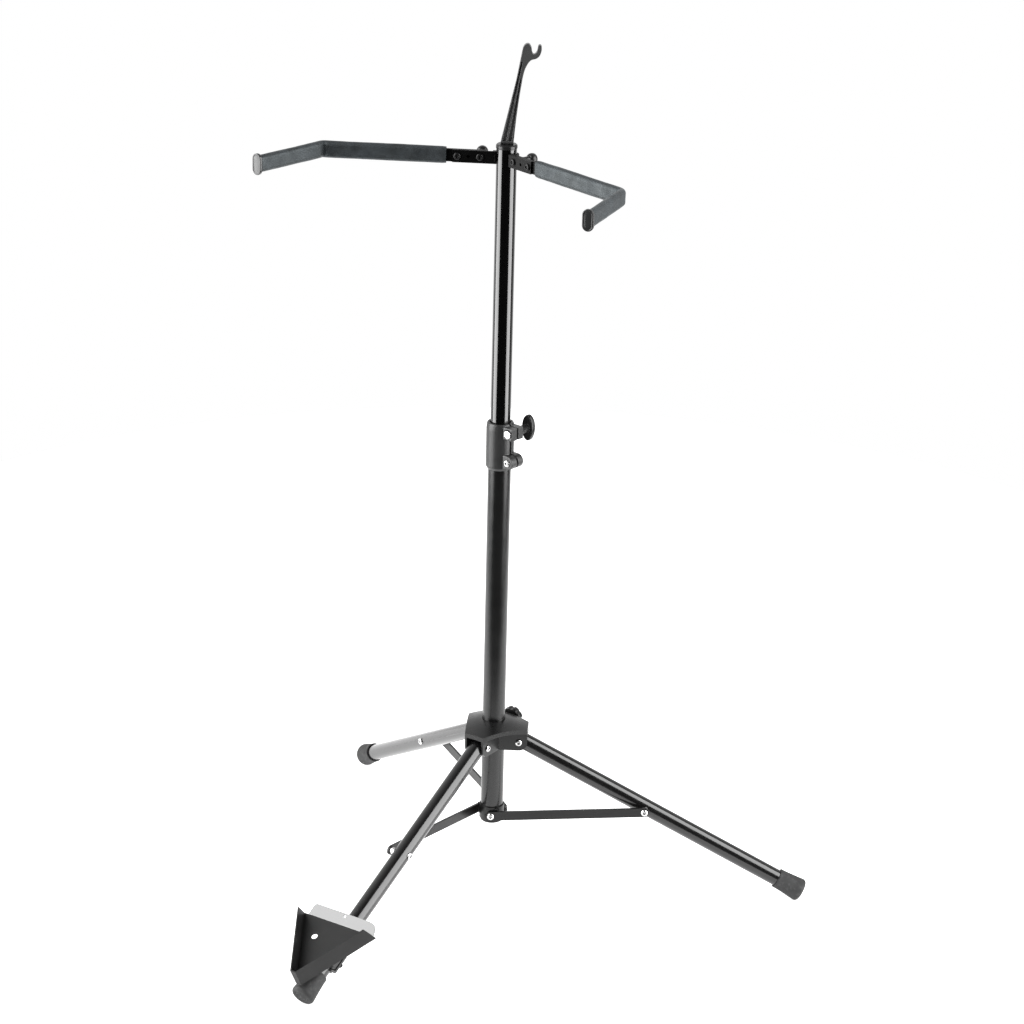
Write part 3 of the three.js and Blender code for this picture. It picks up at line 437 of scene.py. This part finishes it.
def arm_route(name, start, end, pitch=7.0):
    """Points and sideways directions along an arm, in its own millimetre axes."""
    arm = ARM_SHAPES[name]
    bend = arm["bend"]
    cut = ARM_BEND_R * math.tan(bend / 2)
    points = []
    straight = arm["elbow"] - cut - start
    count = max(2, round(straight / pitch))
    points += [(start + straight * i / count, 0, 0) for i in range(count)]
    steps = 14
    for i in range(steps + 1):
        angle = bend * i / steps
        x = arm["elbow"] - cut + ARM_BEND_R * math.sin(angle)
        points.append((x, -ARM_BEND_R * (1 - math.cos(angle)), angle))
    rest = end - cut
    count = max(2, round(rest / pitch))
    for i in range(1, count + 1):
        out = cut + rest * i / count
        points.append((arm["elbow"] + out * math.cos(bend), -out * math.sin(bend), bend))
    return [(Vector((x, y)), Vector((math.sin(a), math.cos(a))), a) for x, y, a in points]


def oval(height, thickness, count=48):
    """Across and up points of an upright oval with straight flanks."""
    corner = thickness / 2
    run = height / 2 - corner
    points = []
    for i in range(count):
        angle = 2 * math.pi * (i + 0.5) / count
        rise = math.sin(angle)
        points.append((corner * math.cos(angle), corner * rise + math.copysign(run, rise)))
    return points


def even_oval(height, thickness, count=64):
    """The same oval with its points spaced evenly, so flat flanks carry points too."""
    fine = oval(height, thickness, 720)
    lengths = [0.0]
    for i in range(len(fine)):
        a, b = fine[i], fine[(i + 1) % len(fine)]
        lengths.append(lengths[-1] + math.dist(a, b))
    points = []
    j = 0
    for i in range(count):
        goal = lengths[-1] * i / count
        while lengths[j + 1] < goal:
            j += 1
        t = (goal - lengths[j]) / max(lengths[j + 1] - lengths[j], 1e-9)
        a, b = fine[j], fine[(j + 1) % len(fine)]
        points.append((a[0] + (b[0] - a[0]) * t, a[1] + (b[1] - a[1]) * t))
    return points


# ---- Arm pads ----
PAD_START = 70
PAD_HEIGHT = 22
PAD_THICKNESS = 11
PAD_BORE_HEIGHT = 17.2
PAD_BORE_THICKNESS = 4.9
PAD_CREASE = 1.6
PAD_PITCH = 5.0
CAP_DEPTH = 4
CAP_HEIGHT = 27
CAP_THICKNESS = 14.4


def pad_ring(matrix, origin, station, height, thickness, crease=0.0):
    """One section of the sleeve; a crease pulls in the side that faces the bend."""
    point, across_axis, _ = station
    ring = []
    for across, up in even_oval(height, thickness):
        inner = max(0.0, -across / (thickness / 2))
        across += crease * inner
        at = point + across_axis * across
        ring.append(matrix @ Vector((at.x * MM, at.y * MM, up * MM)) + origin)
    return ring


def uneven(ring, centre, size):
    """Moves a section in and out by a slow noise, as cut foam is never quite even."""
    moved = []
    for point in ring:
        out = (point - centre).normalized()
        shift = noise.noise(point * 34) * 0.7 + noise.noise(point * 95) * 0.3
        moved.append(point + out * (shift - 0.35) * size * MM)
    return moved


def arm_pad(name):
    matrix, origin = arm_axes(name)
    arm = ARM_SHAPES[name]
    end = arm["forearm"] - CAP_DEPTH - 0.3
    stations = arm_route(name, PAD_START, end, PAD_PITCH)
    outer = []
    last = len(stations) - 1
    for i, station in enumerate(stations):
        middle = abs(station[2] - arm["bend"] / 2) / (arm["bend"] / 2)
        tight = max(0.0, 1 - middle) if 0 < station[2] < arm["bend"] else 0.0
        edge = 0.5 if i in (0, last) else 0.0
        ring = pad_ring(
            matrix, origin, station,
            PAD_HEIGHT - 2 * edge, PAD_THICKNESS - 2 * edge, PAD_CREASE * tight,
        )
        centre = matrix @ Vector((station[0].x * MM, station[0].y * MM, 0)) + origin
        outer.append(uneven(ring, centre, 0.45 + 0.5 * tight))
    inner = [
        pad_ring(matrix, origin, station, PAD_BORE_HEIGHT, PAD_BORE_THICKNESS)
        for station in reversed(stations)
    ]
    verts, faces = skin(outer + inner, looped=True)
    pad = make_piece(
        f"foam_sleeve_{name}", verts, faces, "pad", [f"arm_pad_{name}"], 50,
    )


def arm_end_cap(name):
    """An oval plug with a rounded rim, a shallow step and a slightly crowned face."""
    matrix, origin = arm_axes(name)
    arm = ARM_SHAPES[name]
    point, across_axis, _ = arm_route(name, PAD_START, arm["forearm"])[-1]
    ahead = Vector((across_axis.y, -across_axis.x))
    profile = filleted([
        (6.0, -CAP_DEPTH), (0.0, -CAP_DEPTH), (0.0, -0.2), (1.7, 0.0), (2.1, -0.45),
        (2.7, -0.4), (5.0, -0.05), (6.6, 0.0),
    ], 0.9)
    rings = []
    for inset, depth in profile:
        ring = []
        for across, up in even_oval(CAP_HEIGHT - 2 * inset, CAP_THICKNESS - 2 * inset):
            at = point + across_axis * across + ahead * depth
            ring.append(matrix @ Vector((at.x * MM, at.y * MM, up * MM)) + origin)
        rings.append(ring)
    verts, faces = skin(rings)
    make_piece(
        f"end_plug_{name}", verts, faces, "cap_black", [f"arm_end_cap_{name}"],
    )


# ---- Screws and rivets ----
HEAD_HEIGHT = 2.2


def head_profile(seat, radius):
    """A domed head with a hollow centre, from its seat outwards."""
    top = seat + HEAD_HEIGHT
    dome = filleted([
        (radius, seat), (radius, seat + 0.9), (radius - 1.0, top - 0.25), (2.4, top),
        (2.0, top - 0.2), (1.9, top - 1.7), (0, top - 1.8),
    ], 0.6, 5)
    return [tuple(p) for p in dome]


def screw(node, axis, shank=2.4, head=4.6, spacer=0.0, look="nickel"):
    matrix, low, high = centred(node, axis)
    seat = high - HEAD_HEIGHT
    profile = [(0, low)]
    if spacer:
        profile += [(head, low), (head, low + spacer)]
    profile += [(shank, low + spacer), (shank, seat)]
    verts, faces = turned(profile + head_profile(seat, head), matrix)
    make_piece(f"{node}_turned", verts, faces, look, [node])


def double_rivet(node, axis, shank=2.7, head=4.6):
    matrix, low, high = centred(node, axis)
    seat = high - HEAD_HEIGHT
    far = head_profile(seat, head)
    middle = (low + high) / 2
    near = [(r, 2 * middle - z) for r, z in reversed(far)]
    verts, faces = turned(near + [(shank, near[-1][1]), (shank, seat)] + far, matrix)
    make_piece(f"{node}_turned", verts, faces, "nickel", [node])


KNOB_BORE = 2.4
KNOB_BORE_DEPTH = 22.7


def arm_knob(side):
    """A round knob on a waisted neck, with a domed end and a blind bore for its stud."""
    node = f"arm_knob_{side}"
    matrix, low, high = centred(node, arm_axes(side)[0].col[1].to_3d())
    outside = filleted([
        (KNOB_BORE, 0), (5.4, 0), (4.3, 9.6), (4.3, 17.6), (6.4, 19.0), (7.4, 21.6),
        (7.4, 24.8), (6.2, 27.6), (3.4, 28.6), (0, 28.8),
    ], 1.6, 5)
    profile = [(0, low + KNOB_BORE_DEPTH), (KNOB_BORE, low + KNOB_BORE_DEPTH)]
    profile += [(p.x, low + p.y) for p in outside]
    verts, faces = turned(profile, matrix, 48)
    make_piece(f"round_knob_{side}", verts, faces, "plastic", [node])


# ---- Rubber feet ----
FOOT_BORE = 11.5
FOOT_FLOOR = 6
FOOT_NECK = 13.3
FOOT_FLARE = 2.3
FOOT_LIP = 4
SOLE_ROUND = 4.5
SOLE_GROOVES = (9.4, 6.2, 3.0)
GROOVE_DEPTH = 0.6


def rubber_foot(name):
    """A flared cap with a lip round its mouth and ring grooves in its sole."""
    node = f"foot_{name}"
    matrix, low, high = centred(node, leg_axes(name)[1])
    profile = [(0, high - FOOT_FLOOR), (FOOT_BORE, high - FOOT_FLOOR), (FOOT_BORE, low + 0.5)]
    profile += [(12.3, low), (13.2, low + 0.3), (13.5, low + 1.4), (13.35, low + 3.2)]
    steps = 12
    for i in range(steps + 1):
        t = i / steps
        run = high - low - FOOT_LIP - SOLE_ROUND
        profile.append((FOOT_NECK + FOOT_FLARE * t ** 1.25, low + FOOT_LIP + run * t))
    sole = FOOT_NECK + FOOT_FLARE - SOLE_ROUND
    for i in range(1, 9):
        angle = math.radians(90 * i / 8)
        height = high - SOLE_ROUND + SOLE_ROUND * math.sin(angle)
        profile.append((sole + SOLE_ROUND * math.cos(angle), height))
    for ring in SOLE_GROOVES:
        profile += [(ring + 0.9, high), (ring + 0.5, high - GROOVE_DEPTH)]
        profile += [(ring, high - GROOVE_DEPTH), (ring - 0.4, high)]
    profile.append((0, high))
    verts, faces = turned(profile, matrix, 72)
    make_piece(f"rubber_foot_{name}", verts, faces, "rubber", [node], 50)


# ---- Pieces that keep their shape ----
BEVELS = {
    "tripod_hub": 0.7,
    "tray_pan": 0.6,
    "tray_back_plate": 0.5,
    "clamp_bolt": 0.4,
    "arm_bracket": 0.35,
    "tray_saddle": 0.6,
    "tray_strap": 0.6,
}
DEFAULT_BEVEL = 0.3
BEVEL_ANGLE = math.radians(32)
WELD_GAP = 0.00001
FLAT = ("tray_pan", "tray_back_plate")
# Mouldings whose edges melt into each other, with their mesh pitch.
MOULDED = {"bow_hook": 0.42, "clamp_knob": 0.45, "hub_knob": 0.5, "clamp_collar": 0.5}


def melt_edges(piece, pitch):
    remesh = piece.modifiers.new("remesh", "REMESH")
    remesh.mode = "VOXEL"
    remesh.voxel_size = pitch * MM
    remesh.use_smooth_shade = True
    melt = piece.modifiers.new("melt", "SMOOTH")
    melt.factor = 0.5
    melt.iterations = 8


def round_edges(piece, width, harden):
    bevel = piece.modifiers.new("bevel", "BEVEL")
    bevel.width = width * MM
    bevel.segments = 3
    bevel.limit_method = "ANGLE"
    bevel.angle_limit = BEVEL_ANGLE
    bevel.harden_normals = harden


def soften(node):
    """Joins a node's split faces and rounds its edges, with its vertices left alone."""
    piece = NODES[node]
    mesh = piece.data
    smooth = node not in FLAT
    if "custom_normal" in mesh.attributes:
        mesh.attributes.remove(mesh.attributes["custom_normal"])
    mesh.polygons.foreach_set("use_smooth", [smooth] * len(mesh.polygons))
    weld = piece.modifiers.new("weld", "WELD")
    weld.merge_threshold = WELD_GAP
    if node in MOULDED:
        melt_edges(piece, MOULDED[node])
    else:
        round_edges(piece, BEVELS.get(node, DEFAULT_BEVEL), smooth)


def dress(node):
    """Gives a kept node the finish of its material slot, or its own."""
    for slot in NODES[node].material_slots:
        look = slot.material.name.split(".")[0]
        slot.material = LOOKS[NODE_LOOKS.get(node, look)]


# ---- Stage, light and camera ----
FLOOR_RADIUS = 1.3
FLOOR_CENTRE = (-0.386, 0.584, 0)
LIGHT_AIM = Vector((0, 0, 0.6))
PALE_SIDE = (-0.7, 0.6, 0.0)
CAMERA_PLACE = (2.1915, -3.2824, 2.0169)
CAMERA_AHEAD = (-0.51643, 0.78099, -0.35121)
CAMERA_TOP = (-0.21396, 0.27945, 0.93602)
CAMERA_ANGLE = math.radians(17.884)


def stage():
    """A pale floor that glows a little, as an overexposed studio floor seems to."""
    bpy.ops.mesh.primitive_circle_add(
        vertices=128, radius=FLOOR_RADIUS, fill_type="NGON", location=FLOOR_CENTRE,
    )
    floor = bpy.context.object
    floor.name = "studio_floor"
    shader = Shader("studio_floor")
    shader.colour(shader.mix(shader.noise(3), grey(0.95), grey(0.97)))
    shader.rough(shader.spread(shader.noise(12), 0.6, 0.7))
    shader.fixed(Emission_Color=(1, 1, 1, 1), Emission_Strength=0.8)
    floor.data.materials.append(shader.material)


def softbox(name, azimuth, elevation, distance, size, radiance, only):
    """A soft rectangle of light facing the stand, seen by one kind of ray only."""
    width, height = size
    light = bpy.data.lights.new(name, "AREA")
    light.shape = "RECTANGLE"
    light.size = width
    light.size_y = height
    light.energy = radiance * math.pi * width * height
    lamp = bpy.data.objects.new(name, light)
    bpy.context.scene.collection.objects.link(lamp)
    a, e = math.radians(azimuth), math.radians(elevation)
    out = Vector((math.cos(a) * math.cos(e), math.sin(a) * math.cos(e), math.sin(e)))
    lamp.location = LIGHT_AIM + out * distance
    lamp.rotation_euler = out.to_track_quat("Z", "Y").to_euler()
    lamp.visible_camera = False
    lamp.visible_diffuse = only == "diffuse"
    lamp.visible_glossy = only == "glossy"


def surroundings():
    """White to the eye and pale to matt faces; to gloss, a dim room that is paler behind."""
    world = bpy.data.worlds.new("studio")
    bpy.context.scene.world = world
    world.use_nodes = True
    tree = world.node_tree
    background = tree.nodes["Background"]
    direction = tree.nodes.new("ShaderNodeTexCoord").outputs["Generated"]
    dot = tree.nodes.new("ShaderNodeVectorMath")
    dot.operation = "DOT_PRODUCT"
    dot.inputs[1].default_value = PALE_SIDE
    tree.links.new(direction, dot.inputs[0])
    room = tree.nodes.new("ShaderNodeMapRange")
    room.inputs["From Min"].default_value = -0.2
    room.inputs["From Max"].default_value = 0.8
    room.inputs["To Min"].default_value = 0.025
    room.inputs["To Max"].default_value = 1.1
    tree.links.new(dot.outputs["Value"], room.inputs["Value"])
    path = tree.nodes.new("ShaderNodeLightPath")
    strength = room.outputs["Result"]
    for ray, value in (("Is Diffuse Ray", 0.97), ("Is Camera Ray", 1.0)):
        choice = tree.nodes.new("ShaderNodeMix")
        choice.inputs[3].default_value = value
        tree.links.new(path.outputs[ray], choice.inputs["Factor"])
        tree.links.new(strength, choice.inputs[2])
        strength = choice.outputs[0]
    tree.links.new(strength, background.inputs["Strength"])
    background.inputs["Color"].default_value = (1, 1, 1, 1)


def camera():
    data = bpy.data.cameras.new("camera")
    data.angle = CAMERA_ANGLE
    shot = bpy.data.objects.new("camera", data)
    bpy.context.scene.collection.objects.link(shot)
    ahead = Vector(CAMERA_AHEAD).normalized()
    top = Vector(CAMERA_TOP).normalized()
    right = ahead.cross(top).normalized()
    top = right.cross(ahead)
    shot.matrix_world = Matrix((right, top, -ahead)).transposed().to_4x4()
    shot.location = CAMERA_PLACE
    bpy.context.scene.camera = shot


# ---- Assembly ----
camera()
stage()
surroundings()
softbox("left_box", 226, 16, 1.9, (1.8, 2.7), 7.5, "glossy")
softbox("right_box", 14, 16, 1.9, (1.6, 2.7), 7.5, "glossy")
softbox("top_fill", 300, 76, 2.6, (3.0, 3.0), 1.0, "diffuse")
softbox("left_fill", 225, 25, 2.4, (1.8, 1.8), 1.2, "diffuse")
softbox("right_fill", 15, 25, 2.4, (1.5, 1.8), 0.9, "diffuse")
bpy.context.scene.view_settings.view_transform = "Standard"

for side in SIDES:
    arm_pad(side)
    arm_end_cap(side)
    rear = arm_axes(side)[0].col[1].to_3d()
    screw(f"arm_stud_{side}", -rear, 2.1, look="screw_black")
    screw(f"arm_screw_{side}", -rear, 2.1, look="screw_black")
    arm_knob(side)
for leg in LEGS:
    sideways = leg_axes(leg)[0]
    rubber_foot(leg)
    double_rivet(f"hub_rivet_{leg}", sideways)
    screw(f"strut_nut_{leg}", sideways, 2.7)
    screw(f"strut_bolt_{leg}", -sideways, 2.7, spacer=5.5)
    screw(f"spider_screw_{leg}", -sideways, 2.5)
below = -Vector(MOUNTS["tray_floor"]["axis"])
screw("tray_screw_right", below, 2.0, 3.4)
screw("tray_screw_left", below, 2.0, 3.4)
screw("collar_screw", -Vector(JOINTS["clamp_knob_turn"]["axis"]), 2.4)

for node in NODES:
    dress(node)
    soften(node)
